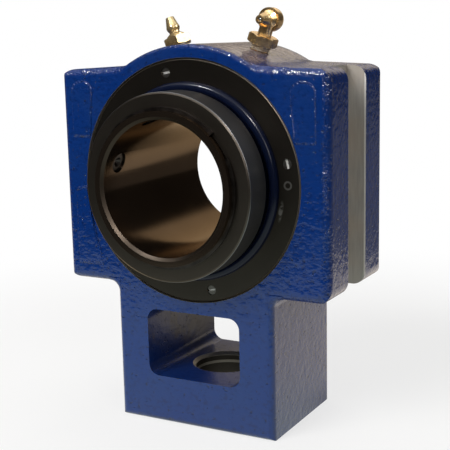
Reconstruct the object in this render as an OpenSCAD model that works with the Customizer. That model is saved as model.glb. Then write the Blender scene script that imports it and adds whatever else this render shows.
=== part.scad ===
// Take-up bearing unit: a cast block that slides along two guide rails and carries a
// self-aligning roller bearing, drawn along by an adjusting screw through its foot.
// Millimetres, +Z up. The origin is the centre of the bearing, on the shaft's axis at half
// the block's depth. The shaft runs along Y, with the locking collar in front, towards -Y.

/* [Shaft and inner ring] */
// Bore for the shaft
shaft_d = 61.9; // [58:0.1:66]
// Wall of the inner ring where it reaches out of the bearing
extension_wall = 3.9; // [3.2:0.1:5]
// Length of the inner ring in front of the locking collar
extension_past_collar = 4; // [3.2:0.1:8]
// Depth of the inner ring's rear end inside the back of the block
rear_end_depth = 2.2; // [0:0.1:4]
// Chamfer at each end of the bore
bore_chamfer = 1.3; // [0.5:0.1:2]

/* [Rollers and cages] */
// Largest diameter of a barrel roller
roller_d = 12; // [10:0.1:13]
// Length of a roller
roller_l = 10.6; // [9:0.1:11.5]
// Number of rollers in each of the two rows
rollers_per_row = 17; // [14:1:18]
// Lean of the rollers towards the shaft
contact_angle = 10; // [8:0.5:13]
// Height of the inner raceways' lowest line above the inner ring's extension
raceway_rise = 1.15; // [0.8:0.05:2]
// Gap between the rollers and each raceway
raceway_clearance = 0.1; // [0.05:0.01:0.2]
// Gap round a roller in its cage pocket
pocket_clearance = 0.2; // [0.1:0.05:0.3]
// Thickness of the cages
cage_t = 3.2; // [2:0.1:4]
// Width of a cage's rim beside the guide ring
cage_inner_rim = 1.5; // [1.2:0.1:1.7]
// Width of a cage's outer rim
cage_outer_rim = 2; // [1.5:0.1:3]
// Width of the land that carries the guide ring between the rows
guide_land_w = 3.6; // [3:0.1:4.4]
// Gap between the guide ring and the rollers' ends
guide_end_gap = 0.25; // [0.15:0.05:0.4]
// Height of the retaining ribs above the inner ring's extension
rib_h = 2.5; // [1.5:0.1:3]
// Width of the retaining ribs
rib_w = 1.9; // [1.2:0.1:3]
// Gap between the retaining ribs and the rollers' ends
rib_end_gap = 0.3; // [0.2:0.05:0.6]

/* [Outer ring] */
// Thickness of the outer ring at mid-width, outside its spherical raceway
outer_ring_wall = 5.5; // [4.5:0.1:8]
// Width of the outer ring
outer_ring_w = 28; // [26:0.5:32]
// Width of the grease groove round the outer ring
grease_groove_w = 6; // [4:0.5:8]
// Depth of the grease groove
grease_groove_depth = 1.4; // [0.8:0.1:2]
// Diameter of the grease holes through the outer ring
grease_hole_d = 3; // [2:0.5:4]
// Number of grease holes
grease_holes = 6; // [3:1:8]

/* [Covers and seals] */
// Step from the outer ring's radius out to the covers' threaded rim
cover_step = 1.9; // [1.5:0.1:3]
// Width of a cover's flat face, from its rim in to the seal
cover_face_w = 10.6; // [9.5:0.1:12]
// Depth of the cover faces inside the block's faces
cover_recess = 0.5; // [0:0.1:1.5]
// Chamfer round a cover's face
cover_chamfer = 0.9; // [0.4:0.1:1.5]
// Gap from the raceway's edge out to the covers' clamping noses
nose_margin = 0.9; // [0.7:0.1:1.4]
// Diameter of the slotted lock screws
lock_screw_d = 4.4; // [3:0.1:4.6]
// Distance of the lock screws in from a cover's rim
lock_screw_inset = 5.6; // [4.5:0.1:6]
// Depth of the lock screws' heads inside a cover's face
lock_screw_depth = 0.4; // [0.3:0.1:1.5]
// Width of the lock screws' slots
slot_w = 1; // [0.6:0.1:1.2]
// Depth of the lock screws' slots
slot_depth = 1.2; // [0.8:0.1:2]
// Turn of the first lock screw from the top
lock_screw_turn = -12; // [-45:1:45]
// Depth of a seal behind a cover's face
seal_depth = 8.6; // [7:0.1:10]
// Section radius of the seals' round outer bead
bead_r = 2.4; // [1.8:0.1:2.8]
// Height of the bead's centre in front of a cover's face
bead_rise = 0.5; // [0:0.1:0.8]
// Gap between the seal lips and the inner ring, room for it to tilt
lip_gap = 0.95; // [0.9:0.05:1.3]

/* [Locking collar] */
// Gap between the block's front face and the collar
collar_gap = 4.7; // [4.2:0.1:8]
// Width of the collar
collar_w = 15.8; // [14:0.1:22]
// Wall of the collar
collar_wall = 7.95; // [6:0.05:10]
// Chamfer round the collar's edges
collar_chamfer = 0.8; // [0.3:0.1:1.5]
// Diameter of the collar's set screws
set_screw_d = 9.5; // [6:0.1:10.5]
// Angle of the first set screw from the top
set_screw_angle = -72; // [-90:1:-60]
// Angle between the two set screws
set_screw_spread = 52; // [45:1:120]
// Depth of the set screws' outer ends inside the collar
set_screw_depth = 1; // [0.5:0.1:2]
// Depth of the set screws' points above the bore
set_screw_lift = 0.8; // [0.3:0.1:2]
// Hexagon socket of the set screws, across its corners
socket_d = 5.5; // [4:0.1:6]
// Depth of the hexagon sockets
socket_depth = 4.2; // [3:0.1:5]
// Thickness of the snap ring in front of the collar
snap_ring_t = 1.5; // [1:0.1:2]
// Height of the snap ring above the inner ring
snap_ring_h = 1.5; // [1:0.1:2.5]
// Depth of the snap ring's groove
snap_groove_depth = 0.8; // [0.5:0.1:1.2]
// Angle of the snap ring's gap from the top, at its middle
snap_gap_angle = 55; // [0:5:180]
// Width of the snap ring's gap in degrees
snap_gap_spread = 20; // [10:1:40]

/* [Housing] */
// Depth of the block along the shaft
block_depth = 65.4; // [60:0.1:75]
// Wall of the round hub outside the covers' threads
hub_wall = 5.95; // [4:0.05:9]
// Height of the shoulders' outer top edge above the shaft's axis
shoulder_top = 51.6; // [45:0.1:55]
// Draft of the shoulders' tops, falling outwards
shoulder_draft = 2.7; // [0:0.1:5]
// Depth of the shoulders' undersides below the shaft's axis
shoulder_bottom = 51.5; // [45:0.1:56]
// Depth of the guide grooves
groove_depth = 9.5; // [6:0.1:14]
// Width of the guide grooves
groove_w = 21.5; // [16:0.1:26]
// Wall between the guide grooves and the bearing's seat
groove_wall = 5.75; // [4:0.05:8]
// Rounding of the shoulders' edges
shoulder_round = 4; // [2:0.1:6]
// Rounding of the shoulders' outer corners, seen from the front
shoulder_corner = 6.5; // [4:0.1:8]
// Fillet where the hub meets the shoulders' tops
hub_fillet = 18; // [8:1:24]
// Rounding of the neck's edges
neck_round = 3; // [2:0.1:5]
// Fillet between the shoulders and the neck
neck_fillet = 5; // [2:0.1:8]
// Rounding of the hub's rims
hub_round = 2; // [1:0.1:3]

/* [Foot and window] */
// Wall between the cover's thread and the window
window_top_wall = 5.7; // [4:0.1:10]
// Width of the window
window_w = 50.2; // [40:0.1:56]
// Height of the window
window_h = 33.4; // [28:0.1:40]
// Rounding of the window's corners
window_round = 5.5; // [3:0.1:8]
// Walls of the neck at both sides of the window
neck_wall = 17.15; // [12:0.05:20]
// Thickness of the foot under the window
foot_t = 23.6; // [16:0.1:30]
// Hole for the adjusting screw through the foot
adjusting_hole_d = 31; // [24:0.5:38]
// Chamfer at both ends of the adjusting hole
adjusting_chamfer = 1.4; // [0.5:0.1:2.5]

/* [Grease fittings] */
// Lean of each fitting from the top of the hub
fitting_angle = 20; // [14:1:30]
// Diameter of the fittings' threads
fitting_thread_d = 9.6; // [8:0.1:11]
// Depth of the thread on the length that shows
fitting_thread_depth = 0.5; // [0.3:0.1:0.6]
// Length of thread inside the hub
fitting_seat = 5.2; // [4:0.1:5.4]
// Length of thread that shows above the hub
fitting_standoff = 2.9; // [1:0.1:6]
// Hexagon of the fittings, across its corners
fitting_hex_d = 14.4; // [12:0.1:16]
// Height of the hexagon
fitting_hex_h = 4.4; // [3.5:0.1:6]
// Radius of the fittings' bodies above the hexagon
fitting_body_r = 4.4; // [4.2:0.1:5.5]
// Height of the elbow's centre above the hexagon
elbow_rise = 7.6; // [6.8:0.1:9]
// Radius of the elbow's round knuckle
elbow_r = 5.6; // [5.2:0.1:6.2]
// Distance of the knuckle's round end behind the fitting's axis
elbow_back = 2.8; // [1.5:0.1:3.5]
// Radius of the elbow's stem below the knuckle
elbow_stem_r = 3.3; // [2.8:0.1:4]
// Length of a nozzle from its root to its tip
nozzle_l = 10; // [9:0.1:11]
// Radius of a nozzle's neck
nozzle_neck_r = 2.6; // [2.3:0.1:2.9]
// Height of the step at a nozzle's root
nozzle_root = 0.6; // [0.4:0.1:1]
// Radius of a nozzle's head at its widest
nozzle_head_r = 3.3; // [3:0.05:3.6]
// Radius of the grease passage
passage_r = 1.65; // [1.6:0.05:1.9]
// Radius of the opening in a nozzle's tip
tip_hole_r = 1.2; // [0.9:0.05:1.3]
// Thickness of the lip that keeps the check ball in
tip_lip = 0.8; // [0.5:0.1:1]
// Radius of the check balls
check_ball_r = 1.5; // [1.4:0.05:1.55]

/* [Fits] */
// Radial clearance of rings, collar and seals in their seats
seat_clearance = 0.03; // [0.02:0.01:0.06]
// Radial clearance of threads and screws
thread_clearance = 0.1; // [0.05:0.01:0.2]
// Clearance between faces that bear on each other
face_gap = 0.03; // [0.01:0.01:0.06]

/* [Hidden] */
$fn = 128;

// Cuts run this far past the faces they open
past = 2;
// Fillets start this far under the faces they run out into
sink = 0.06;
// The lock screws of each cover
lock_screws = 4;

// Radial sizes, from the shaft outwards
shaft_r = shaft_d / 2;
extension_r = shaft_r + extension_wall;
roller_r = roller_d / 2;
inner_low_r = extension_r + raceway_rise;
barrel_r = (inner_low_r + roller_d * cos(contact_angle) + raceway_clearance)
    / (2 * cos(contact_angle) - 1);
raceway_r = barrel_r + raceway_clearance;
outer_ring_r = raceway_r + outer_ring_wall;
seat_r = outer_ring_r + seat_clearance;
cover_r = outer_ring_r + cover_step;
cover_bore_r = cover_r + thread_clearance;
cover_in_r = cover_r - cover_face_w;
hub_r = cover_bore_r + hub_wall;
lip_r = extension_r + lip_gap;
collar_bore_r = extension_r + seat_clearance;
collar_r = collar_bore_r + collar_wall;

// Rows of rollers: the middle of a roller, and its axis leaning inwards
pitch = barrel_r - roller_r;
pitch_r = pitch * cos(contact_angle);
row_offset = pitch * sin(contact_angle);
roller_reach = roller_l / 2 * sin(contact_angle);
roller_span = roller_l / 2 * cos(contact_angle);

// Plane of the rollers' inner and outer ends, as a distance from mid-width at radius r
function inner_end(r) = row_offset - roller_span + (r - pitch_r - roller_reach) * tan(contact_angle);
function outer_end(r) = row_offset + roller_span + (r - pitch_r + roller_reach) * tan(contact_angle);

// Inner raceways: the circle that mirrors the outer raceway across a roller's axis
inner_circle_r = barrel_r + raceway_clearance;
function inner_raceway(at) = 2 * pitch_r - sqrt(pow(inner_circle_r, 2) - pow(2 * row_offset - at, 2));
guide_land_r = inner_raceway(guide_land_w / 2);
rib_r = extension_r + rib_h;
rib_start = outer_end(rib_r) + rib_end_gap;
rib_end = rib_start + rib_w;
cage_reach_in = roller_l / 2 + pocket_clearance + cage_inner_rim;
cage_reach_out = roller_l / 2 + pocket_clearance + cage_outer_rim;
guide_ring_r = pitch_r + cage_reach_in * sin(contact_angle) - cage_t / 2 * cos(contact_angle)
    - 2 * guide_end_gap;

// Distances forward from mid-depth
face = block_depth / 2;
ring_side = outer_ring_w / 2;
cover_face = face - cover_recess;
cover_nose = ring_side + face_gap;
nose_r = sqrt(pow(raceway_r, 2) - pow(ring_side, 2)) + nose_margin;
seal_back = cover_face - seal_depth;
lock_screw_r = cover_r - lock_screw_inset;
collar_back = face + collar_gap;
collar_front = collar_back + collar_w;
collar_middle = (collar_back + collar_front) / 2;
snap_back = collar_front + face_gap;
inner_front = collar_front + extension_past_collar;
inner_back = face - rear_end_depth;

// Block, seen from the front
groove_floor = seat_r + groove_wall;
shoulder_x = groove_floor + groove_depth;
window_top = cover_bore_r + window_top_wall;
window_bottom = window_top + window_h;
foot_bottom = window_bottom + foot_t;
neck_x = window_w / 2 + neck_wall;

// Grease fittings, as radii from the shaft's axis
fitting_hex_base = hub_r + fitting_standoff;
fitting_hex_top = fitting_hex_base + fitting_hex_h;
elbow_centre = fitting_hex_top + elbow_rise;
ball_from_tip = tip_lip + sqrt(pow(check_ball_r, 2) - pow(tip_hole_r, 2)) + face_gap;

// A profile of radius and distance forward, turned about the shaft's axis
module turned() {
    rotate([90, 0, 0]) rotate_extrude() children();
}

// An outline of x and z, as deep as the block or deeper
module along_y(depth) {
    rotate([90, 0, 0]) linear_extrude(depth, center = true) children();
}

// An outline of y and z, drawn out along x from 0
module along_x(length) {
    rotate([90, 0, 90]) linear_extrude(length) children();
}

// Turned about the shaft's axis by an angle from the top, clockwise from the front
module around_shaft(angle) {
    rotate([0, angle, 0]) children();
}

// What the front has, at the back
module at_back() {
    mirror([0, 1, 0]) children();
}

module both_sides() {
    children();
    mirror([1, 0, 0]) children();
}

// A rectangle with round corners, centred
module rounded_rectangle(w, h, r) {
    square([w, h - 2 * r], center = true);
    square([w - 2 * r, h], center = true);
    for (x = [-1, 1], y = [-1, 1])
        translate([x * (w / 2 - r), y * (h / 2 - r)]) circle(r);
}

// The waste outside a round corner of radius r, with the corner at the origin
module corner_waste(r) {
    difference() {
        translate([-r, -r]) square(r + past);
        translate([-r, -r]) circle(r);
    }
}

// The waste outside a round corner between a side and a top that rises inwards by the draft
module drafted_corner_waste(r, draft) {
    middle = [-r, r * tan(draft) - r / cos(draft)];
    slope = [sin(draft), cos(draft)];
    difference() {
        polygon([middle, [past, middle.y], [past, past], middle + (r + past) * slope]);
        translate(middle) circle(r);
    }
}

// The right shoulder: a straight side and underside, a drafted top and rounded edges
module shoulder() {
    tall = 2 * (shoulder_top + shoulder_bottom);
    difference() {
        intersection() {
            translate([0, 0, -tall]) linear_extrude(2 * tall)
                rounded_rectangle(2 * shoulder_x, block_depth, shoulder_round);
            translate([0, 0, tall / 2 - shoulder_bottom]) along_x(2 * shoulder_x)
                rounded_rectangle(block_depth, tall, shoulder_round);
            translate([shoulder_x, 0, shoulder_top]) rotate([0, shoulder_draft, 0])
                translate([-2 * shoulder_x, 0, -tall / 2]) along_x(3 * shoulder_x)
                    rounded_rectangle(block_depth, tall, shoulder_round);
        }
        translate([shoulder_x, 0, shoulder_top]) along_y(2 * block_depth)
            drafted_corner_waste(shoulder_corner, shoulder_draft);
        translate([shoulder_x, 0, -shoulder_bottom]) along_y(2 * block_depth)
            mirror([0, 1]) corner_waste(shoulder_corner);
    }
}

// The neck below the bearing, down to the foot
module neck() {
    intersection() {
        translate([0, 0, -foot_bottom]) linear_extrude(foot_bottom)
            rounded_rectangle(2 * neck_x, block_depth, neck_round);
        along_y(2 * block_depth) rounded_rectangle(2 * neck_x, 2 * foot_bottom, neck_round);
        translate([-neck_x, 0, 0]) along_x(2 * neck_x)
            rounded_rectangle(block_depth, 2 * foot_bottom, neck_round);
    }
}

// What fills a concave corner seen from the front: a ring round the fillet's axis with the
// fillet as its bore, its rims rounded, and only the part inside an outline of x and z
module fillet_fill(at, r, edge) {
    reach = 3 * r;
    intersection() {
        translate([at.x, 0, at.y]) turned() difference() {
            translate([0, -face]) square([reach, block_depth]);
            translate([0, -face]) square([r, block_depth]);
            translate([r, face]) mirror([1, 0]) corner_waste(edge);
            translate([r, -face]) mirror([1, 0]) mirror([0, 1]) corner_waste(edge);
        }
        along_y(2 * block_depth) children();
    }
}

// The fillet under the right shoulder, against the neck
module neck_corner() {
    middle = [neck_x + neck_fillet - sink, -shoulder_bottom - neck_fillet + sink];
    fillet_fill(middle, neck_fillet, neck_round)
        translate([neck_x - past, middle.y]) square([neck_fillet + past, neck_fillet + past]);
}

// The fillet where the hub runs into the right shoulder's top
module hub_corner() {
    slope = [sin(shoulder_draft), cos(shoulder_draft)];
    up = slope * [shoulder_x, shoulder_top] + hub_fillet - sink;
    from_shaft = hub_r + hub_fillet - sink;
    middle = up * slope + sqrt(pow(from_shaft, 2) - pow(up, 2)) * [slope.y, -slope.x];
    fillet_fill(middle, hub_fillet, shoulder_round) polygon([
        middle, middle * (hub_r - past) / from_shaft, middle - (hub_fillet + past) * slope]);
}

module hub() {
    turned() intersection() {
        translate([0, -face]) square([hub_r, block_depth]);
        rounded_rectangle(2 * hub_r, block_depth, hub_round);
    }
}

module housing_bores() {
    turned() {
        translate([0, -ring_side]) square([seat_r, outer_ring_w]);
        for (side = [-1, 1])
            translate([0, (side * (face + ring_side) - (face - ring_side + past)) / 2])
                square([cover_bore_r, face - ring_side + past]);
    }
    both_sides() translate([groove_floor, -groove_w / 2, -foot_bottom])
        cube([groove_depth + past, groove_w, 2 * foot_bottom]);
    translate([0, 0, -(window_top + window_bottom) / 2]) along_y(block_depth + past)
        rounded_rectangle(window_w, window_h, window_round);
    translate([0, 0, -foot_bottom - past])
        cylinder(d = adjusting_hole_d, h = foot_t + 2 * past);
    for (end = [-foot_bottom, -window_bottom])
        translate([0, 0, end]) adjusting_countersink();
    for (side = [-1, 1]) around_shaft(side * fitting_angle) {
        translate([0, 0, hub_r - fitting_seat - face_gap])
            cylinder(d = fitting_thread_d + 2 * thread_clearance, h = fitting_seat + past);
        cylinder(r = passage_r, h = hub_r);
    }
}

// A double cone that chamfers the adjusting hole where it meets a face
module adjusting_countersink() {
    wide = adjusting_hole_d / 2 + adjusting_chamfer;
    narrow = adjusting_hole_d / 2;
    cylinder(r1 = wide, r2 = narrow, h = adjusting_chamfer);
    translate([0, 0, -adjusting_chamfer])
        cylinder(r1 = narrow, r2 = wide, h = adjusting_chamfer);
}

module housing() {
    color("#1b3f8c") difference() {
        union() {
            both_sides() {
                shoulder();
                neck_corner();
                hub_corner();
            }
            neck();
            hub();
        }
        housing_bores();
    }
}

// A threaded cover: a clamping nose on the outer ring, and a face round the seal
module cover() {
    difference() {
        turned() polygon([
            [nose_r, cover_nose], [cover_r, cover_nose], [cover_r, cover_face - cover_chamfer],
            [cover_r - cover_chamfer, cover_face], [cover_in_r, cover_face],
            [cover_in_r, seal_back], [nose_r, seal_back - (nose_r - cover_in_r)]]);
        at_lock_screws() translate([0, 0, cover_nose - past])
            cylinder(d = lock_screw_d + 2 * thread_clearance, h = face);
    }
}

// The places of a cover's lock screws, with +Z pointing out of the cover
module at_lock_screws() {
    for (i = [0 : lock_screws - 1])
        around_shaft(lock_screw_turn + i * 360 / lock_screws)
            translate([0, 0, lock_screw_r]) rotate([90, 0, 0]) children();
}

module lock_screws_of_cover() {
    length = cover_face - lock_screw_depth - cover_nose;
    at_lock_screws() translate([0, 0, cover_nose]) difference() {
        cylinder(d = lock_screw_d, h = length);
        translate([-lock_screw_d, -slot_w / 2, length - slot_depth])
            cube([2 * lock_screw_d, slot_w, slot_depth + past]);
    }
}

// A seal: a band in the cover, a round bead outside and two lips over the inner ring
module seal() {
    band_r = cover_in_r - seat_clearance;
    lip_root = lip_r + bead_r;
    lip_step = seal_depth / 4;
    turned() {
        translate([lip_root, seal_back]) square([band_r - lip_root, seal_depth]);
        translate([band_r - bead_r, cover_face + bead_rise]) circle(bead_r);
        polygon([[lip_root, cover_face], [lip_r, cover_face + bead_rise], [lip_r, cover_face - lip_step / 2],
            [lip_root, cover_face - 2 * lip_step]]);
        polygon([[lip_root, seal_back + 2 * lip_step], [lip_r, seal_back + lip_step / 2],
            [lip_r, seal_back], [lip_root, seal_back]]);
    }
}

module front_cover() {
    color("#231f1d") cover();
}

module rear_cover() {
    color("#231f1d") at_back() cover();
}

module front_lock_screws() {
    color("#5a5450") lock_screws_of_cover();
}

module rear_lock_screws() {
    color("#5a5450") at_back() lock_screws_of_cover();
}

module front_seal() {
    color("#1c2236") seal();
}

module rear_seal() {
    color("#1c2236") at_back() seal();
}

// The outer ring: a spherical raceway inside, a grease groove and holes outside
module outer_ring() {
    color("#8d9096") difference() {
        turned() translate([0, -ring_side]) square([outer_ring_r, outer_ring_w]);
        sphere(raceway_r);
        turned() translate([outer_ring_r - grease_groove_depth, -grease_groove_w / 2])
            square([grease_groove_depth + past, grease_groove_w]);
        for (i = [1 : grease_holes]) around_shaft(i * 360 / grease_holes)
            cylinder(d = grease_hole_d, h = 2 * outer_ring_r);
    }
}

// The floating ring between the two rows, wedge-shaped like the gap between the rollers
module guide_ring() {
    inside = guide_land_r + seat_clearance;
    thin = inner_end(inside) - guide_end_gap;
    thick = inner_end(guide_ring_r) - guide_end_gap;
    color("#77797d") turned() polygon([
        [inside, -thin], [guide_ring_r, -thick], [guide_ring_r, thick], [inside, thin]]);
}

module inner_ring() {
    color("#2a2523") difference() {
        turned() difference() {
            union() {
                translate([shaft_r, -inner_back]) square([extension_wall, inner_back + inner_front]);
                translate([shaft_r, -rib_end]) square([rib_r - shaft_r, 2 * rib_end]);
                translate([shaft_r, -guide_land_w]) square([guide_land_r - shaft_r, 2 * guide_land_w]);
            }
            for (side = [-1, 1]) intersection() {
                translate([2 * pitch_r, side * 2 * row_offset]) circle(inner_circle_r, $fn = 360);
                translate([shaft_r, side * rib_start / 2 - rib_start / 2]) square([raceway_r, rib_start]);
            }
            translate([extension_r - snap_groove_depth, collar_front])
                square([snap_groove_depth + past, snap_ring_t + 2 * face_gap]);
            for (end = [-inner_back, inner_front]) translate([shaft_r, end])
                rotate(45) square(bore_chamfer * sqrt(2), center = true);
        }
        at_set_screws() cylinder(d = set_screw_d + 2 * thread_clearance, h = collar_r);
    }
}

// One barrel roller along Z
module roller() {
    color("#b4b7bc") rotate_extrude() intersection() {
        translate([0, -roller_l / 2]) square([roller_d, roller_l]);
        translate([-pitch, 0]) circle(barrel_r, $fn = 360);
    }
}

// The place of a roller, or of a pocket, in the front row
module at_roller(turn) {
    around_shaft(turn * 360 / rollers_per_row)
        translate([0, -row_offset, pitch_r]) rotate([90 + contact_angle, 0, 0]) children();
}

// A cage: a leaning band with one pocket for each roller
module cage() {
    color("#9a7a3c") difference() {
        turned() translate([pitch_r, row_offset]) rotate(contact_angle)
            translate([-cage_t / 2, -cage_reach_in]) square([cage_t, cage_reach_in + cage_reach_out]);
        for (i = [1 : rollers_per_row]) at_roller(i)
            cylinder(r = roller_r + pocket_clearance, h = roller_l + 2 * pocket_clearance, center = true);
    }
}

module front_cage() {
    cage();
}

module rear_cage() {
    at_back() cage();
}

module front_roller(i) {
    at_roller(i) roller();
}

module rear_roller(i) {
    at_back() at_roller(i) roller();
}

// The places of the set screws, with +Z pointing out from the shaft's axis
module at_set_screws() {
    for (angle = [set_screw_angle, set_screw_angle + set_screw_spread])
        translate([0, -collar_middle, 0]) around_shaft(angle) children();
}

module locking_collar() {
    color("#2b2624") difference() {
        turned() polygon([
            [collar_bore_r, collar_back], [collar_r - collar_chamfer, collar_back],
            [collar_r, collar_back + collar_chamfer], [collar_r, collar_front - collar_chamfer],
            [collar_r - collar_chamfer, collar_front], [collar_bore_r, collar_front]]);
        at_set_screws() cylinder(d = set_screw_d + 2 * thread_clearance, h = 2 * collar_r);
    }
}

// Two set screws with a hexagon socket outside and a cup point inside
module collar_set_screws() {
    point = shaft_r + set_screw_lift;
    top = collar_r - set_screw_depth;
    cup_r = set_screw_d / 4;
    color("#3a3634") at_set_screws() difference() {
        translate([0, 0, point]) cylinder(d = set_screw_d, h = top - point);
        translate([0, 0, top - socket_depth]) cylinder(d = socket_d, h = socket_depth + past, $fn = 6);
        translate([0, 0, point]) cylinder(r1 = cup_r, r2 = 0, h = cup_r);
    }
}

// The open ring that keeps the collar on the inner ring
module snap_ring() {
    inside = extension_r - snap_groove_depth + seat_clearance;
    outside = extension_r + snap_ring_h;
    color("#35302d") difference() {
        turned() translate([inside, snap_back]) square([outside - inside, snap_ring_t]);
        around_shaft(snap_gap_angle) along_y(4 * inner_front) polygon([
            [0, 0], [-2 * outside * tan(snap_gap_spread / 2), 2 * outside],
            [2 * outside * tan(snap_gap_spread / 2), 2 * outside]]);
    }
}

// The foot of a grease fitting: its thread and a hexagon with its corners turned off
module fitting_foot(hex_turn) {
    bevel = (fitting_hex_d - fitting_hex_d * cos(30)) / 2;
    translate([0, 0, hub_r - fitting_seat])
        cylinder(d = fitting_thread_d, h = fitting_seat - fitting_thread_depth);
    translate([0, 0, hub_r - fitting_seat])
        cylinder(d = fitting_thread_d - 2 * fitting_thread_depth, h = fitting_seat + fitting_standoff);
    translate([0, 0, fitting_hex_base]) intersection() {
        rotate(hex_turn) cylinder(d = fitting_hex_d, h = fitting_hex_h, $fn = 6);
        rotate_extrude() polygon([
            [0, 0], [fitting_hex_d / 2 - bevel, 0], [fitting_hex_d / 2, bevel / 2],
            [fitting_hex_d / 2, fitting_hex_h - bevel / 2],
            [fitting_hex_d / 2 - bevel, fitting_hex_h], [0, fitting_hex_h]]);
    }
}

// A grease nozzle from its root at 0 up to its flat tip: a shoulder, a neck and a head that
// widens from the neck and tapers to the tip
module nozzle() {
    tip_r = tip_hole_r + tip_lip;
    head_step = nozzle_head_r - nozzle_neck_r;
    shoulder_h = 1.5 * nozzle_root;
    neck_start = shoulder_h + (fitting_body_r - nozzle_neck_r) * 0.7;
    neck_end = neck_start + nozzle_l * 0.08;
    head_start = neck_end + 2 * head_step;
    rotate_extrude() polygon([
        [0, 0], [fitting_body_r, 0], [fitting_body_r, shoulder_h], [nozzle_neck_r, neck_start],
        [nozzle_neck_r, neck_end], [nozzle_head_r - head_step / 3, head_start - head_step],
        [nozzle_head_r, head_start], [nozzle_head_r, head_start + head_step],
        [nozzle_head_r - head_step / 3, head_start + 2 * head_step], [tip_r, nozzle_l], [0, nozzle_l]]);
}

// The way in through a nozzle's tip, wide enough behind its lip for the check ball
module nozzle_passage(depth) {
    translate([0, 0, -depth]) cylinder(r = passage_r, h = depth + nozzle_l - tip_lip);
    cylinder(r = tip_hole_r, h = nozzle_l + past);
}

module at_straight_nozzle() {
    around_shaft(-fitting_angle) translate([0, 0, fitting_hex_top]) children();
}

module at_elbow_nozzle() {
    around_shaft(fitting_angle) translate([0, 0, elbow_centre]) rotate([90, 0, 0]) children();
}

module straight_grease_fitting() {
    color("#c9a83c") difference() {
        union() {
            around_shaft(-fitting_angle) fitting_foot(0);
            at_straight_nozzle() nozzle();
        }
        at_straight_nozzle() nozzle_passage(fitting_hex_top - hub_r + fitting_seat + past);
    }
}

module elbow_grease_fitting() {
    color("#c9a83c") difference() {
        union() {
            around_shaft(fitting_angle) {
                fitting_foot(30);
                translate([0, 0, fitting_hex_base])
                    cylinder(r = elbow_stem_r, h = fitting_hex_h + elbow_rise);
            }
            at_elbow_nozzle() {
                nozzle();
                rotate_extrude() intersection() {
                    translate([0, -elbow_back]) {
                        circle(elbow_r);
                        square([elbow_r, elbow_back + nozzle_root]);
                    }
                    translate([0, -elbow_back - elbow_r])
                        square([elbow_r, elbow_r + elbow_back + nozzle_root]);
                }
            }
        }
        at_elbow_nozzle() nozzle_passage(0);
        around_shaft(fitting_angle) translate([0, 0, hub_r - fitting_seat - past])
            cylinder(r = passage_r, h = elbow_centre - hub_r + fitting_seat + past);
    }
}

module check_ball() {
    color("#d8d8da") translate([0, 0, nozzle_l - ball_from_tip]) sphere(check_ball_r);
}

module straight_check_ball() {
    at_straight_nozzle() check_ball();
}

module elbow_check_ball() {
    at_elbow_nozzle() check_ball();
}

housing();
front_cover();
rear_cover();
front_lock_screws();
rear_lock_screws();
front_seal();
rear_seal();
outer_ring();
guide_ring();
inner_ring();
front_cage();
rear_cage();
locking_collar();
collar_set_screws();
snap_ring();
straight_grease_fitting();
elbow_grease_fitting();
straight_check_ball();
elbow_check_ball();
for (i = [1 : rollers_per_row]) {
    front_roller(i);
    rear_roller(i);
}
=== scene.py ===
# %% [markdown]
# This lesson dresses a take-up bearing unit: a cast and painted block that slides between
# two rails, with a self-aligning roller bearing in its round hub. The solids come from CAD
# and stay as they are. Blender adds the light, the finishes and the small cast and cut forms
# that a drawing leaves out. The first cell loads the solids and keeps the box they fill.

# %% Load the solids
import math
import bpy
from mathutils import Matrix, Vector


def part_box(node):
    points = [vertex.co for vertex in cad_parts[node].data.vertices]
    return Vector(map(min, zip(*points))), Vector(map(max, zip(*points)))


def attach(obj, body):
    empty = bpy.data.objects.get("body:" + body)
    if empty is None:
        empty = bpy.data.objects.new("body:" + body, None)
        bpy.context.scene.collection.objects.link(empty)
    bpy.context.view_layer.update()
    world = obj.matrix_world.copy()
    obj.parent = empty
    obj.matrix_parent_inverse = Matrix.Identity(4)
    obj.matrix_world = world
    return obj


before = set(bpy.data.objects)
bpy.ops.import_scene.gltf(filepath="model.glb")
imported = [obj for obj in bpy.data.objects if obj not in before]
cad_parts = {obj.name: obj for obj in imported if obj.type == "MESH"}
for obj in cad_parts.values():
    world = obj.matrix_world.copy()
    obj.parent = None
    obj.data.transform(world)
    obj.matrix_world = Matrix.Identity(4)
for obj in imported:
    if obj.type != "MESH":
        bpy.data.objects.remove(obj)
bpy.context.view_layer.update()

from types import SimpleNamespace

import bpy
import numpy as np
from mathutils import Matrix, Vector

# %% [markdown]
# The finishes need a few lengths of the unit, such as where its front face lies. They are
# measured from the solids' boxes or, where a box doesn't show them, repeated from the drawing.
# All are in millimetres, because a maker thinks in millimetres and Blender in metres.

# %% Lengths of the unit
MM = 0.001


def box_mm(node):
    """Lowest and highest corner of a solid, in millimetres."""
    low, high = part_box(node)
    return np.array(low) / MM, np.array(high) / MM


block_low, block_high = box_mm("housing")
SHOULDER_X, FACE, HUB_R = block_high
FOOT = block_low[2]
COVER_R, COVER_CLEARANCE = box_mm("front_cover")[1][0], 0.1
COVER_BORE_R = COVER_R + COVER_CLEARANCE
print("hub radius", round(HUB_R, 2), "face", round(FACE, 2), "foot", round(FOOT, 2))

# %% [markdown]
# The camera stands to the right of the unit and a little above it, so the front, the right
# side and the tops show. Its place, its turn and its lens were fitted to a photograph. A
# camera looks along its own -Z, so its matrix is built from three directions: right, up and
# back. A small roll tips the picture as the photograph is tipped.

# %% Camera
CAMERA_AT = Vector((0.23647, -0.42680, 0.06665))
AZIMUTH, ELEVATION, ROLL = (math.radians(angle) for angle in (28.896, 10.717, -1.265))
LENS_MM, SENSOR_MM, CLIP_NEAR, CLIP_FAR = 80.38, 36, 0.01, 50

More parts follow.
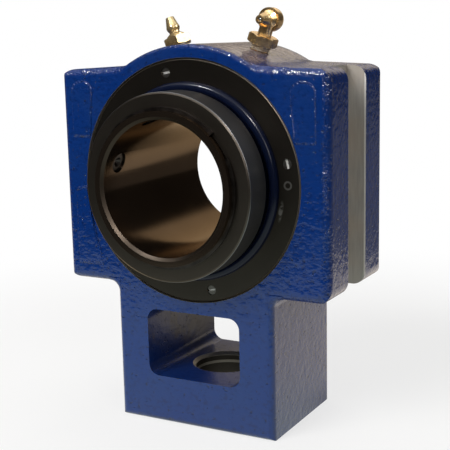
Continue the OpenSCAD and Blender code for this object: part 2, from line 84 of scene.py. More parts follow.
back = Vector((math.sin(AZIMUTH) * math.cos(ELEVATION),
               -math.cos(AZIMUTH) * math.cos(ELEVATION), math.sin(ELEVATION)))
level = Vector((math.cos(AZIMUTH), math.sin(AZIMUTH), 0))
upright = back.cross(level)
right = level * math.cos(ROLL) + upright * math.sin(ROLL)
up = upright * math.cos(ROLL) - level * math.sin(ROLL)

lens = bpy.data.cameras.new("photo_camera")
lens.lens, lens.sensor_width = LENS_MM, SENSOR_MM
lens.clip_start, lens.clip_end = CLIP_NEAR, CLIP_FAR
camera = bpy.data.objects.new("photo_camera", lens)
bpy.context.scene.collection.objects.link(camera)
camera.matrix_world = Matrix((right, up, back)).transposed().to_4x4()
camera.location = CAMERA_AT
bpy.context.scene.camera = camera
bpy.context.scene.view_settings.view_transform = "Standard"
print("camera", [round(v, 3) for v in CAMERA_AT])

# %% [markdown]
# A finish is a small web of nodes. Written out node by node it is hard to read, so one class
# wraps a socket: adding or multiplying two of them adds a Math node, and a sum reads as a
# sum. A second class holds the material and has one method for every other kind of node.


# %% Sums of sockets
class Wire:
    """One output of a node, used in sums as if it were a number."""

    def __init__(self, finish, socket):
        self.finish, self.socket = finish, socket

    def maths(self, operation, *values):
        return self.finish.add("Math", dict(enumerate(values)), operation=operation)

    def __add__(self, other):
        return self.maths("ADD", self, other)

    def __sub__(self, other):
        return self.maths("SUBTRACT", self, other)

    def __rsub__(self, other):
        return self.maths("SUBTRACT", other, self)

    def __mul__(self, other):
        return self.maths("MULTIPLY", self, other)

    def __truediv__(self, other):
        return self.maths("DIVIDE", self, other)

    def __rtruediv__(self, other):
        return self.maths("DIVIDE", other, self)

    def __lt__(self, other):
        return self.maths("LESS_THAN", self, other)

    def __gt__(self, other):
        return self.maths("GREATER_THAN", self, other)

    def __abs__(self):
        return self.maths("ABSOLUTE", self)

    __radd__, __rmul__ = __add__, __mul__


def square_root(value):
    """The square root of a socket's number."""
    return value.maths("SQRT", value)


def larger(first, second):
    """The larger of two sockets' numbers."""
    return first.maths("MAXIMUM", first, second)


print("sums of sockets ready")


# %% One method for every other node
class Finish:
    """A material or another web of nodes, and the nodes that make it."""

    def __init__(self, name, tree=None):
        if tree is None:
            self.material = bpy.data.materials.new(name)
            self.material.use_nodes = True
            tree = self.material.node_tree
        self.tree = tree
        tree.nodes.clear()

    def add(self, kind, sockets=None, out=0, **settings):
        """Adds a node: its settings come first, then the values or links of its sockets."""
        node = self.tree.nodes.new("ShaderNode" + kind)
        for name, value in settings.items():
            setattr(node, name, value)
        for name, value in (sockets or {}).items():
            if isinstance(value, Wire):
                self.tree.links.new(value.socket, node.inputs[name])
            else:
                node.inputs[name].default_value = value
        return Wire(self, node.outputs[out]) if node.outputs else None

    def close(self, shader):
        """Joins a shader to the material's output."""
        self.add("OutputMaterial", {"Surface": shader})
        return self.material


print("webs of nodes ready")

# %% [markdown]
# Most finishes start from the same things: where a point is on the unit in millimetres, a
# soft noise of a chosen grain, a step between 0 and 1, and a mix of two colours. Object
# coordinates are used, so each pattern stays put on its piece.

# %% Starting points of a finish
NOISE_SPOT = 0.5
COLOUR_A, COLOUR_B, COLOUR_OUT = 6, 7, 2


def place_of(finish):
    """A point of the piece, as a vector in millimetres."""
    at = finish.add("TexCoord", out="Object")
    return finish.add("VectorMath", {0: at, "Scale": 1 / MM}, operation="SCALE")


def axes_of(at):
    """The three numbers of a vector."""
    return [at.finish.add("SeparateXYZ", {0: at}, out=axis) for axis in "XYZ"]


def grain(at, size, detail=2.0, roughness=0.5, stretch=(1, 1, 1)):
    """Noise from 0 to 1 whose spots are about size millimetres across. At a scale of 1 they
    would be about NOISE_SPOT across."""
    at = at.finish.add("VectorMath", {0: at, 1: stretch}, operation="MULTIPLY")
    return at.finish.add("TexNoise", {"Vector": at, "Scale": NOISE_SPOT / size,
                                      "Detail": detail, "Roughness": roughness})


def step(value, low, high):
    """0 below low, 1 above high, and smooth between them."""
    return value.finish.add("MapRange", {"Value": value, "From Min": low, "From Max": high},
                            interpolation_type="SMOOTHSTEP")


def fade(value, low, high):
    """1 below low, 0 above high, and smooth between them."""
    return 1 - step(value, low, high)


def blend(share, first, second):
    """The first colour where share is 0, the second where it is 1. A Mix node has sockets for
    several kinds of value, and its colours are told apart by number."""
    return share.finish.add("Mix", {0: share, COLOUR_A: first, COLOUR_B: second},
                            out=COLOUR_OUT, data_type="RGBA")


def relief(height):
    """A bumped normal from a height in millimetres."""
    return height.finish.add("Bump", {"Height": height, "Distance": MM, "Strength": 1.0})


print("starting points of a finish ready")

# %% [markdown]
# The unit stands on a small white table. To the camera the table fades into white paper and
# keeps the shadow near the foot. Gloss sees more: the table is cool in front, warm and bright
# behind but for the unit's own shade, and past its edge comes a dim floor. That is painted
# on with the point's distance and side, because the haze on the lower paint is this table.

# %% Finish of the table
TABLE_R, TABLE_FADE, WARM_HALF = 320, 90, 120
SHADE_MIDDLE, SHADE_ACROSS, SHADE_START, SHADE_END = -20, (40, 80), (0, 40), (150, 280)
SHADOW_SHARE, SHADOW_FADE, BOUNCE = 0.3, (150, 420), 0.45
WHITE = (1, 1, 1, 1)


def ray(finish, kind):
    """1 for a ray of this kind and 0 for any other."""
    return finish.add("LightPath", out="Is " + kind + " Ray")


def table_in_gloss(x, y, away):
    """The table as gloss sees it: cool in front, warm behind, shaded behind the unit, and a
    dim floor further away."""
    warm = step(y, -WARM_HALF, WARM_HALF)
    near = blend(warm, (0.82, 0.93, 0.87, 1), (1.15, 1.02, 0.84, 1))
    shade = step(y, *SHADE_START) * fade(y, *SHADE_END)
    shade = shade * fade(abs(x - SHADE_MIDDLE), *SHADE_ACROSS)
    near = blend(shade * 0.92, near, (0.05, 0.045, 0.04, 1))
    far = blend(warm, (0.035, 0.032, 0.03, 1), (0.22, 0.20, 0.18, 1))
    return blend(step(away, TABLE_R, TABLE_R + TABLE_FADE), near, far)


def table_finish():
    """White paper with a soft shadow to the camera, and the painted table to other rays."""
    finish = Finish("white_table")
    x, y, _ = axes_of(place_of(finish))
    away = square_root(x * x + y * y)
    # To matt rays the painted table glows at BOUNCE strength: painted bounce light on the unit.
    in_gloss = finish.add("Emission", {"Color": table_in_gloss(x, y, away),
                                       "Strength": 1 - (1 - BOUNCE) * ray(finish, "Diffuse")})
    lit = finish.add("BsdfDiffuse", {"Color": (0.84, 0.83, 0.81, 1)})
    paper = finish.add("Emission", {"Color": WHITE, "Strength": 1.0})
    shadow = SHADOW_SHARE * fade(away, *SHADOW_FADE)
    to_camera = finish.add("MixShader", {0: shadow, 1: paper, 2: lit})
    return finish.close(
        finish.add("MixShader", {0: ray(finish, "Camera"), 1: in_gloss, 2: to_camera}))


print("table out to", TABLE_R, "mm")


# %% Table
def new_mesh(name, points, faces):
    """An object at the origin from an array of points and a list of faces' corners."""
    mesh = bpy.data.meshes.new(name)
    mesh.from_pydata(points.reshape(-1, 3).tolist(), [], [face.tolist() for face in faces])
    made = bpy.data.objects.new(name, mesh)
    bpy.context.scene.collection.objects.link(made)
    return made


FLOOR_HALF = 5000
floor_corners = np.array([(-1, -1), (1, -1), (1, 1), (-1, 1)]) * FLOOR_HALF
floor_corners = np.column_stack((floor_corners, np.full(4, FOOT))) * MM
table = new_mesh("table", floor_corners, [np.arange(4)])
table.data.materials.append(table_finish())
print("table at", round(FOOT, 2), "mm")

# %% [markdown]
# The world is white to the camera, to gloss and through glass, and gives the shade a low,
# even light.

# %% World
AMBIENT = 0.30
room = bpy.data.worlds.new("studio")
bpy.context.scene.world = room
room.use_nodes = True
air = Finish("studio", room.node_tree)
white_seen = ray(air, "Camera") + ray(air, "Glossy") + ray(air, "Transmission")
sky = air.add("Background", {"Color": WHITE,
                             "Strength": AMBIENT + white_seen * (1 - AMBIENT)})
air.add("OutputWorld", {"Surface": sky})
print("world ready")

# %% [markdown]
# Gloss needs something dark to look at, or everything turns milky. A photographer stands
# black cards round the table, out of view. Here one band of card goes all the way round. It
# is dark, with a beige patch low behind the unit and a brighter one above it, which the
# tops of the hub and the right shoulder pick up.

# %% Dark cards round the table
CARD_R, CARD_HIGH = 2200, 2000
PATCH_LEFT, PATCH_RIGHT = (-0.70, -0.50), (0.05, 0.25)
LOW_PATCH_TOP, HIGH_PATCH_FOOT = (150, 450), (450, 800)


def row_faces(rows, count):
    """Quads between neighbouring rows of count points, where each row closes on itself."""
    row, first = np.meshgrid(np.arange(rows - 1), np.arange(count), indexing="ij")
    start, after = row * count + first, row * count + (first + 1) % count
    return np.stack((start, after, after + count, start + count), -1).reshape(-1, 4)


def band_round(radius, low, high, count=72):
    """An upright band: each point is (radius cos a, radius sin a, z), with the angle a all
    the way round and z from low to high."""
    angle, z = np.meshgrid(np.linspace(0, 2 * np.pi, count, endpoint=False), (low, high))
    return np.stack((radius * np.cos(angle), radius * np.sin(angle), z), -1) * MM


def card_finish():
    """Dark card with two pale patches behind the unit, one above the other. Their sides are
    given as x over y, with a millimetre added so that nothing is divided by 0."""
    finish = Finish("dark_card")
    x, y, z = axes_of(place_of(finish))
    side = x / (abs(y) + 1)
    patch = (y > 0) * step(side, *PATCH_LEFT) * fade(side, *PATCH_RIGHT)
    tone = blend(patch * fade(z, *LOW_PATCH_TOP), (0.045, 0.040, 0.036, 1), (0.70, 0.60, 0.46, 1))
    tone = blend(patch * step(z, *HIGH_PATCH_FOOT), tone, (1.05, 0.90, 0.70, 1))
    return finish.close(finish.add("Emission", {"Color": tone, "Strength": 1.0}))


band = band_round(CARD_R, FOOT, CARD_HIGH)
cards = new_mesh("dark_cards", band, row_faces(*band.shape[:2]))
cards.data.materials.append(card_finish())
cards.visible_camera = cards.visible_diffuse = cards.visible_shadow = False
print("cards stand", CARD_R, "mm out")

# %% [markdown]
# Large soft lamps light the paint from the front and above, and are kept out of the gloss. A
# weak one on the right serves both. Gloss alone sees two small bright lamps, which draw
# glints on edges and bumps, and a window high on the right, a pale streak along the turned
# steel.

# %% Lamps
LAMP_AIM = Vector((0, 0, -0.02))
WARM_WHITE, COOL_WHITE, WINDOW_LIGHT = (1, 0.98, 0.95), (0.95, 0.98, 1), (0.9, 0.96, 1)


def lamp(name, at, size, power, colour=(1, 1, 1), gloss=True, matt=True):
    """A square lamp that looks at the middle of the unit, and can leave gloss or matt out."""
    light = bpy.data.lights.new(name, "AREA")
    light.size, light.energy, light.color = size, power, colour
    made = bpy.data.objects.new(name, light)
    bpy.context.scene.collection.objects.link(made)
    made.location = at
    aim = LAMP_AIM - made.location
    made.rotation_euler = aim.to_track_quat("-Z", "Y").to_euler()
    made.visible_glossy, made.visible_diffuse = gloss, matt


lamp("front_softbox", (-0.34, -0.95, 0.68), 0.7, 13.5, gloss=False)
lamp("fill_lamp", (0.80, -0.66, 0.40), 0.3, 1.6, WARM_WHITE)
lamp("glint_lamp", (0.55, -0.78, 0.85), 0.08, 10, WARM_WHITE, matt=False)
lamp("left_glint_lamp", (-0.35, -0.70, 0.95), 0.06, 13, COOL_WHITE, matt=False)
lamp("top_softbox", (0.1, 0.35, 1.2), 0.7, 3.4, gloss=False)
lamp("right_window", (0.92, 0.20, 0.65), 0.35, 9, WINDOW_LIGHT, matt=False)
print("lamps:", len(bpy.data.lights))

# %% [markdown]
# The block has machined places without paint: the guide grooves, the hole in the foot and the
# bearing's seat. It also has a window through its neck, where the paint is darkened as painted
# shade. A mask made from the point's own coordinates says where each of them is, so one material
# covers the casting. A mask reaches a little past its edge, so that no thin seam is left out.

# %% Places on the casting
GROOVE_DEPTH, GROOVE_HALF = 9.5, 10.75
ADJUSTING_R, ADJUSTING_CHAMFER, FOOT_T = 15.5, 1.4, 23.6
WINDOW_HALF, WINDOW_TOP_WALL = 25.1, 5.7
SEAM, EDGE_INSET = 0.05, 0.12
FOOT_TOP = FOOT + FOOT_T


def casting_places(at):
    """A point of the casting, and masks of where the block is machined or open."""
    x, y, z = axes_of(at)
    from_hole, from_shaft = square_root(x * x + y * y), square_root(x * x + z * z)
    groove = (abs(x) > SHOULDER_X - GROOVE_DEPTH - SEAM) * (abs(y) < GROOVE_HALF + SEAM)
    hole = (from_hole < ADJUSTING_R + ADJUSTING_CHAMFER + SEAM) * (z < FOOT_TOP + SEAM)
    seat = from_shaft < COVER_BORE_R + SEAM
    window = (abs(y) < FACE - EDGE_INSET) * (abs(x) < WINDOW_HALF + 2 * SEAM)
    window = window * (z < 2 * SEAM - COVER_BORE_R - WINDOW_TOP_WALL)
    return SimpleNamespace(at=at, x=x, y=y, z=z, from_shaft=from_shaft, groove=groove,
                           turned=larger(hole, seat), window=window)


print("foot's top at", round(FOOT_TOP, 2), "mm")

# %% [markdown]
# The paint is a deep blue that pales in soft clouds and darkens in low spots and pits. Inside
# the window it is darkened as painted shade, and brown patches grow towards the top and the
# rear. The middle of the hub's round top is painted beige: a painted reflection of a wall.

# %% Colour of the paint
PAINT = {"deep": (0.0012, 0.023, 0.142, 1), "dusty": (0.0045, 0.028, 0.138, 1),
         "dark": (0.001, 0.009, 0.062, 1), "pit": (0.001, 0.004, 0.02, 1),
         "brown_patch": (0.045, 0.031, 0.022, 1), "beige_reflection": (0.31, 0.235, 0.175, 1)}
BROWN_GRAIN, BROWN_PER_MM, BROWN_RISE = 5, 0.006, (-97, -80)
REFLECTION_SKIN, REFLECTION_LOW, REFLECTION_ACROSS, REFLECTION_ENDS = 0.4, 40, (18, 46), (FACE - 6, FACE - 2)


def beige_reflection_top(place):
    """1 on the middle of the hub's round top, fading to its sides and its two ends."""
    on_hub = (abs(place.from_shaft - HUB_R) < REFLECTION_SKIN) * (place.z > REFLECTION_LOW)
    return on_hub * fade(abs(place.y), *REFLECTION_ENDS) * fade(abs(place.x), *REFLECTION_ACROSS)


def paint_colour(place, clouds, peel, pits):
    """Blue in clouds, darker in low spots and pits, with painted shade and brown patches in the
    window and a painted reflection on top.
    """
    paint = blend(clouds * 0.7, PAINT["deep"], PAINT["dusty"])
    paint = blend(fade(peel, 0.28, 0.5) * 0.5, paint, PAINT["dark"])
    paint = blend(pits * 0.6, paint, PAINT["pit"])
    # Painted shade: the paint inside the window is darkened, as little light reaches in there.
    paint = blend(place.window * 0.45, paint, PAINT["dark"])
    # Brown patches in the window, growing towards its top and its rear.
    brown_patch = step(grain(place.at, BROWN_GRAIN, 3.0) + place.y * BROWN_PER_MM, 0.46, 0.60)
    brown_patch = place.window * brown_patch * step(place.z, *BROWN_RISE)
    paint = blend(brown_patch * 0.6, paint, PAINT["brown_patch"])
    # Painted reflection: the middle of the hub's top is painted beige for a beige wall seen at a
    # grazing angle.
    return blend(beige_reflection_top(place) * (clouds * 0.25 + 0.45), paint, PAINT["beige_reflection"])


print("colours of paint:", len(PAINT))

# %% [markdown]
# The block is cast in sand, so its paint lies over a bumpy skin: broad swells from the sand,
# finer orange peel from the spray, and small pits. The skin is calmer on the neck and in the
# window. Along the rounded front edges and the edges of the pads the paint has gathered in
# beads, most of them high up, which break up the glints.

# %% Skin of the paint
SWELL_GRAIN, BEAD_GRAIN, CLUSTER_GRAIN = 2.6, 0.65, 7
EDGE_START, EDGE_WIDTH = -FACE + EDGE_INSET, 5.5
BEADS_RISE, BEADS_LOW, CALM_BELOW = (-80, 45), -75, (-60, -45)
PAD_RISE, PAD_EDGE_LOW, PAD_EDGE_HIGH = 0.35, 0.03, 0.33


def paint_beads(place):
    """Height of the beads, in clusters along the front edges and on the slopes of the pads."""
    y, z = place.y, place.z
    edge = (y > EDGE_START) * fade(y, EDGE_START, EDGE_START + EDGE_WIDTH)
    clusters = step(grain(place.at, CLUSTER_GRAIN), 0.42, 0.58) * 0.6 + 0.4
    edge = edge * clusters * (step(z, *BEADS_RISE) * 0.8 + 0.2) * (z > BEADS_LOW)
    pad_edge = (y < -FACE - PAD_EDGE_LOW) * (y > -FACE - PAD_EDGE_HIGH)
    return step(grain(place.at, BEAD_GRAIN, 1.0), 0.35, 0.75) * (edge * 0.38 + pad_edge * 0.5)


def paint_skin(place, peel, pits):
    """Height of the paint in millimetres: swells and peel, less the pits, and the beads."""
    calm = (1 - place.window * 0.45) * (1 - fade(place.z, *CALM_BELOW) * 0.35)
    swell = grain(place.at, SWELL_GRAIN, 1.0)
    return (swell * 0.30 + peel * 0.24) * calm - pits * 0.12 + paint_beads(place)


print("beads along", EDGE_WIDTH, "mm of each front edge")

# %% [markdown]
# Bare iron shows in the machined places. A milling cutter left fine upright lines in the
# grooves, which are stained here and there, with a painted highlight along the right
# shoulder's outer edge. The hole in the foot and the bearing's seat are turned. The hole is
# dark but for a pale band at its mouth and a narrow pale ring a little below it.

# %% Bare iron
IRON = {"dark": (0.24, 0.23, 0.215, 1), "light": (0.50, 0.48, 0.45, 1),
        "stain": (0.42, 0.36, 0.30, 1), "painted_highlight": (0.88, 0.86, 0.83, 1),
        "turned": (0.016, 0.014, 0.012, 1), "land": (0.36, 0.34, 0.31, 1)}
STAIN_GRAIN, LATHE_GRAIN, HIGHLIGHT_EDGE = 9, 0.22, 0.8
MOUTH_PAST_CHAMFER, PALE_RING_DEPTH, PALE_RING_HALF = 0.3, 4.8, 0.7


def lathe_marks(across, along):
    """Fine turned rings: noise that changes only with the radius and along the axis."""
    turned = along.finish.add("CombineXYZ", {0: across, 1: along})
    return grain(turned, LATHE_GRAIN, 2.0, 0.6)


def iron_colour(place, mill, rings):
    """Milled and stained iron with a painted highlight at the edge, and dark turned iron with
    pale rings.
    """
    stain = step(grain(place.at, STAIN_GRAIN, 3.0), 0.45, 0.7)
    milled = blend(mill, IRON["dark"], IRON["light"])
    milled = blend(stain * 0.6, milled, IRON["stain"])
    # Painted highlight: the right shoulder's outer edge is painted pale, as a glint along it.
    milled = blend((place.x > SHOULDER_X - HIGHLIGHT_EDGE) * 0.7, milled, IRON["painted_highlight"])
    depth = FOOT_TOP - place.z
    # The hole is pale at its mouth and in a narrow ring a little below it.
    mouth = depth < ADJUSTING_CHAMFER + MOUTH_PAST_CHAMFER
    land = mouth + (abs(depth - PALE_RING_DEPTH) < PALE_RING_HALF)
    turned = blend(land * 0.8 + rings * 0.2, IRON["turned"], IRON["land"])
    return blend(place.turned, milled, turned)


print("colours of iron:", len(IRON))

# %% [markdown]
# Paint and iron are put together in one material. Each is worked out for every point, and
# the masks choose between them: colour, gloss and height follow the same masks, so an edge of
# paint is an edge in all three.

# %% Painted casting
CLOUD_GRAIN, PEEL_GRAIN, PIT_GRAIN, MILL_GRAIN = 16, 0.95, 1.1, 0.5
PEEL_STRETCH, MILL_STRETCH = (0.8, 0.8, 1.0), (1, 1, 0.08)


def casting_finish():
    """Blue enamel over sand-cast iron, and bare metal where rails, screw and bearing run."""
    finish = Finish("blue_casting")
    place = casting_places(place_of(finish))
    groove, turned = place.groove, place.turned
    bare = larger(groove, turned)
    clouds = step(grain(place.at, CLOUD_GRAIN, 3.0, 0.55), 0.35, 0.7)
    peel = grain(place.at, PEEL_GRAIN, 2.0, 0.5, PEEL_STRETCH)
    pits = fade(grain(place.at, PIT_GRAIN), 0.28, 0.36)
    mill = grain(place.at, MILL_GRAIN, 3.0, 0.6, MILL_STRETCH)
    rings = lathe_marks(0.0, place.z)
    paint, iron = paint_colour(place, clouds, peel, pits), iron_colour(place, mill, rings)
    gloss = 0.13 + clouds * 0.06 + place.window * 0.16
    skin = paint_skin(place, peel, pits) * (1 - bare)
    return finish.close(finish.add("BsdfPrincipled", {
        "Base Color": blend(bare, paint, iron), "Metallic": groove * 0.2 + turned * 0.9,
        "Roughness": gloss * (1 - bare) + (0.36 + mill * 0.14) * bare, "IOR": 1.5,
        "Normal": relief(skin + mill * groove * 0.012 + rings * turned * 0.03)}))


def put_on(node, material):
    """Gives a solid one material in place of its own."""
    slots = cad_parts[node].data.materials
    slots.clear()
    slots.append(material)


blue_casting = casting_finish()
put_on("housing", blue_casting)
print("casting painted")

# %% [markdown]
# The covers, the locking collar and the inner ring are turned steel, blackened in a hot
# salt bath. The bath leaves a brown-black skin that shows the lathe's rings through it, and
# some edges are painted paler as a highlight. Radius and depth drive one fine noise, which
# makes rings on a flat face and on a round one alike. Some grease has dried on the front cover.

# %% Blackened turned steel
SPOT_X, SPOT_Z, SPOT_R, SPOT_SOFT = 50.5, 1.1, 1.6, (0.2, 0.6)
SMEAR_X, SMEAR_Z, SMEAR_LEAN, SMEAR_SQUASH, SMEAR_SOFT = 46.9, -10.6, 0.18, 0.06, (0.5, 1.4)
SMEAR_GRAIN, OXIDE_GRAIN, OXIDE_SHARE = 0.8, 11, 0.7


def grease_marks(at, x, z):
    """Dried grease: a thin round ring near a lock screw, and a broken, leaning smear below."""
    across, along = x - SPOT_X, z - SPOT_Z
    from_spot = square_root(across * across + along * along)
    ring = fade(abs(from_spot - SPOT_R), *SPOT_SOFT)
    along = z - SMEAR_Z
    across = x - SMEAR_X - along * SMEAR_LEAN
    oval = square_root(across * across + along * along * SMEAR_SQUASH)
    smear = fade(oval, *SMEAR_SOFT) * step(grain(at, SMEAR_GRAIN, 3.0), 0.35, 0.6)
    return larger(ring * 0.6, smear)


def oxide_finish(name, tint, gloss, sheen_and_dull_place, sheen_and_dull_colour, dull=0.0, greasy=False):
    """Black oxide on turned steel. A function of (r, y) gives where a place takes another colour
    and is rougher by dull: a painted highlight on the covers, a painted sheen on the collar and
    dull oxide in the bore. A greasy piece has dried grease on its front."""
    finish = Finish(name)
    at = place_of(finish)
    x, y, z = axes_of(at)
    r = square_root(x * x + z * z)
    rings, cloud, edge = lathe_marks(r, y), grain(at, OXIDE_GRAIN, 3.0), sheen_and_dull_place(r, y)
    darker = [part * OXIDE_SHARE for part in tint]
    colour = blend(edge, blend(cloud, (*darker, 1), (*tint, 1)), (*sheen_and_dull_colour, 1))
    rough = gloss + rings * 0.10 + cloud * 0.08 + edge * dull
    if greasy:
        grease = (y < 0) * grease_marks(at, x, z)
        colour = blend(grease * 0.6, colour, (0.26, 0.25, 0.24, 1))
        rough = rough + grease * 0.25
    return finish.close(finish.add("BsdfPrincipled", {
        "Base Color": colour, "Roughness": rough, "Metallic": 0.92,
        "Specular Tint": (0.80, 0.68, 0.55, 1), "Normal": relief(rings * 0.02)}))


print("oxide is", OXIDE_SHARE, "as bright in its dark clouds")

# %% [markdown]
# Each blackened piece has one place that differs. The covers carry a painted highlight round
# their outer edge, the collar's round side is painted paler than its face as a sheen, and
# thick oxide stays dull at the mouth of the bore.

# %% Covers, collar and inner ring
COVER_CHAMFER = 0.9
COLLAR_R, COLLAR_SKIN = box_mm("locking_collar")[1][0], 0.2
SHAFT_R, BORE_CHAMFER, MOUTH_PAST = 30.95, 1.3, 0.2
INNER_FRONT = box_mm("inner_ring")[0][1]


def cover_rim_highlight(r, _):
    """The chamfer round a cover's outer edge, painted paler as a highlight."""
    return (r > COVER_R - COVER_CHAMFER) * 0.55


def collar_side_sheen(r, _):
    """The collar's round side, painted paler than its face as a sheen."""
    return (r > COLLAR_R - COLLAR_SKIN) * 0.9


def bore_mouth(r, y):
    """The chamfer at the front mouth of the bore, where thick oxide stays dull."""
    return (y < INNER_FRONT + BORE_CHAMFER) * (r < SHAFT_R + BORE_CHAMFER + MOUTH_PAST) * 0.8


# Painted highlight: the covers' rim takes the paler colour given below.
black_cover = oxide_finish("black_cover", (0.046, 0.040, 0.034), 0.24, cover_rim_highlight,
                           (0.40, 0.34, 0.27), greasy=True)
dress = {
    "front_cover": black_cover,
    "rear_cover": black_cover,
    # Painted sheen: the collar's round side takes the paler colour given below.
    "locking_collar": oxide_finish("black_collar", (0.073, 0.062, 0.052), 0.26, collar_side_sheen,
                                   (0.15, 0.152, 0.158), dull=-0.05),
    "inner_ring": oxide_finish("black_inner_ring", (0.094, 0.069, 0.051), 0.06, bore_mouth,
                               (0.03, 0.024, 0.019), dull=0.3),
}
print("blackened pieces:", len(dress))

# %% [markdown]
# The small hardware has plain finishes: dark lock screws with a painted highlight in their
# slots, ground steel for the rollers and rings inside, brass for the cages, black for the set
# screws and the snap ring, rubber for the seals, and a straw or yellow plating for the grease
# fittings. Each gets a little cloudiness and fine marks.

# %% Finishes of the small hardware
SCRATCH_GRAIN, SCRATCH_STRETCH, RUBBER_GRAIN, FINE_GRAIN = 0.25, (1, 1, 0.2), 7, 0.4
SCREW_FACE, SLOT_INSET = -box_mm("front_lock_screws")[0][1], 0.15


def metal_finish(name, light, dark, gloss, cloud_grain=4.0, metal=1.0):
    """A bare or plated metal: two close colours in soft clouds and fine scratches."""
    finish = Finish(name)
    at = place_of(finish)
    cloud = step(grain(at, cloud_grain, 3.0), 0.3, 0.7)
    fine = grain(at, SCRATCH_GRAIN, 2.0, 0.6, SCRATCH_STRETCH)
    return finish.close(finish.add("BsdfPrincipled", {
        "Base Color": blend(cloud, (*dark, 1), (*light, 1)), "Metallic": metal,
        "Roughness": gloss + cloud * 0.08 + fine * 0.08, "Normal": relief(fine * 0.006)}))


def rubber_finish():
    """Nitrile rubber with a moulded gloss, a little blue."""
    finish = Finish("seal_rubber")
    at = place_of(finish)
    cloud, fine = grain(at, RUBBER_GRAIN, 3.0), grain(at, FINE_GRAIN)
    return finish.close(finish.add("BsdfPrincipled", {
        "Base Color": blend(cloud, (0.002, 0.004, 0.014, 1), (0.004, 0.007, 0.024, 1)),
        "Roughness": 0.16 + cloud * 0.10, "Specular IOR Level": 0.20,
        "Normal": relief(fine * 0.006)}))


def screw_finish():
    """A blackened screw whose driver slot, set in from its face, is painted bright as a
    highlight.
    """
    finish = Finish("slotted_screw")
    at = place_of(finish)
    _, y, _ = axes_of(at)
    fine = grain(at, FINE_GRAIN)
    # Painted highlight: the slot below the screw's face is painted bright.
    painted_slot_highlight = abs(y) < SCREW_FACE - SLOT_INSET
    dark = blend(fine, (0.05, 0.045, 0.04, 1), (0.16, 0.15, 0.14, 1))
    return finish.close(finish.add("BsdfPrincipled", {
        "Base Color": blend(painted_slot_highlight, dark, (0.88, 0.87, 0.85, 1)),
        "Metallic": 0.85 - painted_slot_highlight * 0.6, "Roughness": 0.24 + fine * 0.15,
        "Normal": relief(fine * 0.01)}))


print("slots are bright", SLOT_INSET, "mm below the screws' faces")

# %% Small hardware
screw_steel, nitrile = screw_finish(), rubber_finish()
ground_steel = metal_finish("ground_steel", (0.60, 0.61, 0.63), (0.52, 0.53, 0.55), 0.14)
cage_brass = metal_finish("cage_brass", (0.60, 0.44, 0.17), (0.50, 0.36, 0.13), 0.30)
straw_plate = metal_finish("straw_plate", (0.52, 0.40, 0.21), (0.32, 0.22, 0.10), 0.22, 2.5, 0.8)
yellow_plate = metal_finish("yellow_plate", (0.92, 0.67, 0.34), (0.66, 0.42, 0.18), 0.17, 2.5,
                            0.95)
blackened = metal_finish("blackened_wire", (0.075, 0.065, 0.06), (0.04, 0.035, 0.032), 0.28, 3)

dress |= {"front_lock_screws": screw_steel, "rear_lock_screws": screw_steel,
          "collar_set_screws": blackened, "snap_ring": blackened,
          "front_seal": nitrile, "rear_seal": nitrile,
          "outer_ring": ground_steel, "guide_ring": ground_steel,
          "front_cage": cage_brass, "rear_cage": cage_brass,
          "straight_grease_fitting": straw_plate, "elbow_grease_fitting": yellow_plate,
          "straight_check_ball": ground_steel, "elbow_check_ball": ground_steel}
dress |= {node: ground_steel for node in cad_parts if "roller" in node}
for node, material in dress.items():
    put_on(node, material)
print("nodes dressed:", len(dress) + 1, "of", len(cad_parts))

# %% [markdown]
# Each shoulder carries a low pad with an arched top, cast on the front so that a sign can be
# fixed to it, and the left one a plain tablet below. A pad is swept from its outline: the
# outline shrinks towards the middle while the height rises over a short slope, so the edge
# catches the light as a cast edge does. The pads are blank and take the block's paint.

# %% Shape of a pad
PAD_CLEARANCE = 0.8
PAD_CLEAR_R = COVER_BORE_R + PAD_CLEARANCE


def swept_mesh(name, points):
    """A closed object from rows of points: quads join each row to the next, and one face each
    closes the first and the last row."""
    rows, count = points.shape[:2]
    loop = np.arange(count)
    ends = loop[::-1], loop + (rows - 1) * count
    return new_mesh(name, points, [*row_faces(rows, count), *ends])


def arched_outline(width, height, arch, count=96):
    """An upright outline about its middle: straight foot and sides, and an elliptic arch of
    the given height on top. Points run over the arch to the left and back along the foot."""
    turn = np.linspace(0, np.pi, count // 2)
    top = height / 2 - arch
    x = np.concatenate((np.cos(turn) * width / 2, np.linspace(-1, 1, count // 2) * width / 2))
    z = np.concatenate((top + np.sin(turn) * arch, np.full(count // 2, -height / 2)))
    return np.stack((x, z), -1)


def raised_pad(name, middle, outline):
    """A pad: point (u, v) is middle + shrink(v) * outline(u), standing out by height(v). The
    height starts inside the block, climbs to its full rise as a quarter wave and then stays
    level to the middle. A point too close to the cover moves straight out from the shaft until
    it is clear."""
    shrink = np.array([1.0, 0.97, 0.94, 0.91, 0.86, 0.5, 0.02])
    height = PAD_RISE * np.array([-0.4, 0.30, 0.71, 0.92, 1.0, 1.0, 1.0])
    flat = middle + shrink[:, None, None] * outline[None]
    from_shaft = np.linalg.norm(flat, axis=-1, keepdims=True)
    flat = flat * np.maximum(1, PAD_CLEAR_R / from_shaft)
    out = np.broadcast_to(-FACE - height[:, None], flat.shape[:2])
    made = swept_mesh(name, np.stack((flat[..., 0], out, flat[..., 1]), -1) * MM)
    faces = len(made.data.polygons)
    made.data.polygons.foreach_set("use_smooth", np.arange(faces) < faces - 2)
    made.data.materials.append(blue_casting)
    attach(made, "block")


print("pads keep", PAD_CLEARANCE, "mm from the cover's bore")

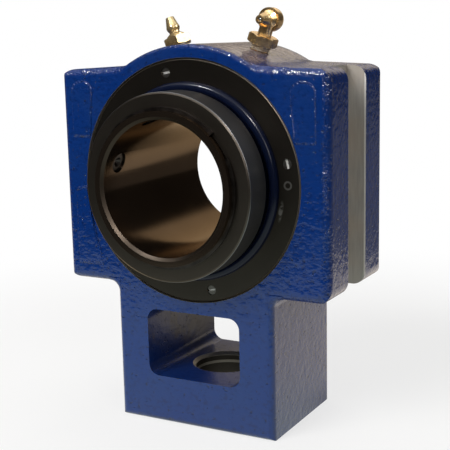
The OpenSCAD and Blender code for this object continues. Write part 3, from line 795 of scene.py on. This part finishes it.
# %% Blank pads on the shoulders
PAD_X, PAD_Z, PAD_W, PAD_H, PAD_ARCH = 58.2, 33.0, 12.5, 28.0, 5.0
TABLET_X, TABLET_Z, TABLET_W, TABLET_H, TABLET_ARCH = -57.0, -24.0, 15.0, 40.0, 1.5
pad_outline = arched_outline(PAD_W, PAD_H, PAD_ARCH)
raised_pad("right_sign_pad", np.array((PAD_X, PAD_Z)), pad_outline)
raised_pad("left_sign_pad", np.array((-PAD_X, PAD_Z)), pad_outline)
raised_pad("left_tablet", np.array((TABLET_X, TABLET_Z)),
           arched_outline(TABLET_W, TABLET_H, TABLET_ARCH))
print("pads stand out by", PAD_RISE, "mm")

# %% [markdown]
# A short length of thread shows between the hub and each fitting's hexagon. The solid has the
# thread's core, and the ridge is wound round it here. A helix with a blunt triangle for its
# section is enough at this size, and it runs a little into the hub and the hexagon. The
# plating is thin on the ridge, so it is a paler metal.

# %% Thread on the fittings
FITTING_LEAN, STANDOFF, CORE_R, CREST_R, PITCH = 20, 2.9, 4.3, 4.8, 0.94
ROOT_SINK, HUB_SINK, HEXAGON_SINK = 0.2, 0.6, 0.3
bare_thread = metal_finish("bare_thread", (0.74, 0.69, 0.61), (0.50, 0.44, 0.37), 0.30, 2.0, 0.8)


def thread_ridge(name, lean, low, high, count=64):
    """A wound ridge: at the angle u the section's points (r, h) stand at radius r from the
    fitting's axis and at the height low + pitch u / 2 pi + h along it. The axis leans from
    upright by lean radians, towards +X."""
    turns = (high - low - PITCH) / PITCH
    u = np.linspace(0, 2 * np.pi * turns, int(count * turns))[:, None]
    r = np.array([CORE_R - ROOT_SINK, CREST_R, CREST_R, CORE_R - ROOT_SINK])
    h = np.array([1.0, 0.58, 0.42, 0.0]) * PITCH
    along = low + PITCH * u / (2 * np.pi) + h
    x, y = r * np.cos(u), r * np.sin(u)
    points = np.stack((x * math.cos(lean) + along * math.sin(lean), y,
                       along * math.cos(lean) - x * math.sin(lean)), -1) * MM
    made = swept_mesh(name, points)
    made.data.materials.append(bare_thread)
    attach(made, "block")


for fitting, lean in (("straight", -FITTING_LEAN), ("elbow", FITTING_LEAN)):
    thread_ridge(fitting + "_fitting_thread", math.radians(lean), HUB_R - HUB_SINK,
                 HUB_R + STANDOFF + HEXAGON_SINK)
print("threads wound on two fittings")
